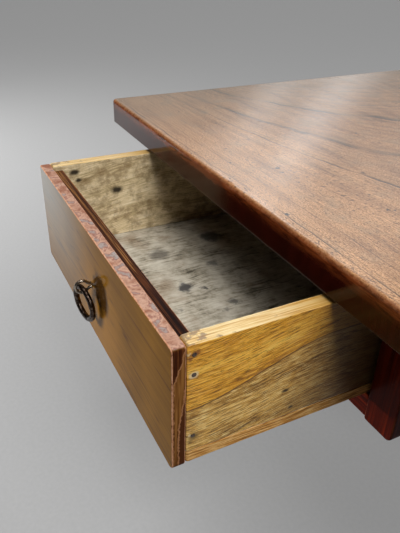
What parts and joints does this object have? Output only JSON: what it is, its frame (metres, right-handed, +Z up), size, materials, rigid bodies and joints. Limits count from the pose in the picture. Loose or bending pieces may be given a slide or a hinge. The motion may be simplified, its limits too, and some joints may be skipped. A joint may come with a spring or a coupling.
{
  "type": "calligraphy table",
  "caption": "Low floor-seated wooden writing table with a thick lacquered top, legs on foot runners and a hung drawer that slides out by an iron ring pull.",
  "frame": {"origin": "centre of the writing surface, on the upper face of the top", "axes": "+X along the front edge to the sitter's right, +Y from the sitter to the back, +Z up out of the writing surface"},
  "size_m": [0.909, 0.5379, 0.303],
  "materials": {
    "top_lacquer": "worn transparent red-brown lacquer over figured hardwood, semi-gloss",
    "frame_lacquer": "dark maroon lacquer, glossy",
    "front_lacquer": "golden brown lacquer, glossy, worn at the arrises",
    "drawer_wood": "honey-coloured softwood with a thin varnish",
    "bottom_wood": "bare weathered board with ink stains",
    "inner_wood": "bare wood",
    "iron": "forged iron, dark and worn bright in places"
  },
  "bodies": {
    "table": {"top_board": "top_lacquer", "left_bearer": "frame_lacquer", "right_bearer": "frame_lacquer", "left_front_leg": "frame_lacquer", "left_rear_leg": "frame_lacquer", "right_front_leg": "frame_lacquer", "right_rear_leg": "frame_lacquer", "left_front_leg_peg": "frame_lacquer", "left_rear_leg_peg": "frame_lacquer", "right_front_leg_peg": "frame_lacquer", "right_rear_leg_peg": "frame_lacquer", "left_foot_runner": "frame_lacquer", "right_foot_runner": "frame_lacquer", "rear_stretcher": "frame_lacquer", "left_stretcher_key": "frame_lacquer", "right_stretcher_key": "frame_lacquer", "case_front_post": "frame_lacquer", "case_rear_post": "frame_lacquer", "case_front_rail": "frame_lacquer", "case_rear_rail": "frame_lacquer", "case_left_panel": "frame_lacquer", "case_right_panel": "frame_lacquer", "case_back_panel": "frame_lacquer", "left_runner": "inner_wood", "right_runner": "inner_wood", "left_guide": "inner_wood", "right_guide": "inner_wood"},
    "drawer": {"drawer_front": "front_lacquer", "drawer_left_side": "drawer_wood", "drawer_right_side": "drawer_wood", "drawer_back": "drawer_wood", "drawer_bottom_board_1": "bottom_wood", "drawer_bottom_board_2": "bottom_wood", "drawer_bottom_board_3": "bottom_wood", "drawer_bottom_board_4": "bottom_wood", "drawer_left_nail_1": "iron", "drawer_left_nail_2": "iron", "drawer_left_nail_3": "iron", "drawer_right_nail_1": "iron", "drawer_right_nail_2": "iron", "drawer_right_nail_3": "iron", "pull_eye": "iron"},
    "ring": {"pull_ring": "iron"}
  },
  "joints": [
    {"name": "drawer_slide", "type": "slide", "parent": "table", "child": "drawer", "axis": [0, -1, 0], "range_m": [-0.137, 0.1]},
    {"name": "ring_swing", "type": "hinge", "parent": "drawer", "child": "ring", "pos_m": [-0.2219, -0.3197, -0.0737], "axis": [-0.9848, -0.1736, 0], "range_deg": [-4, 165]}
  ]
}
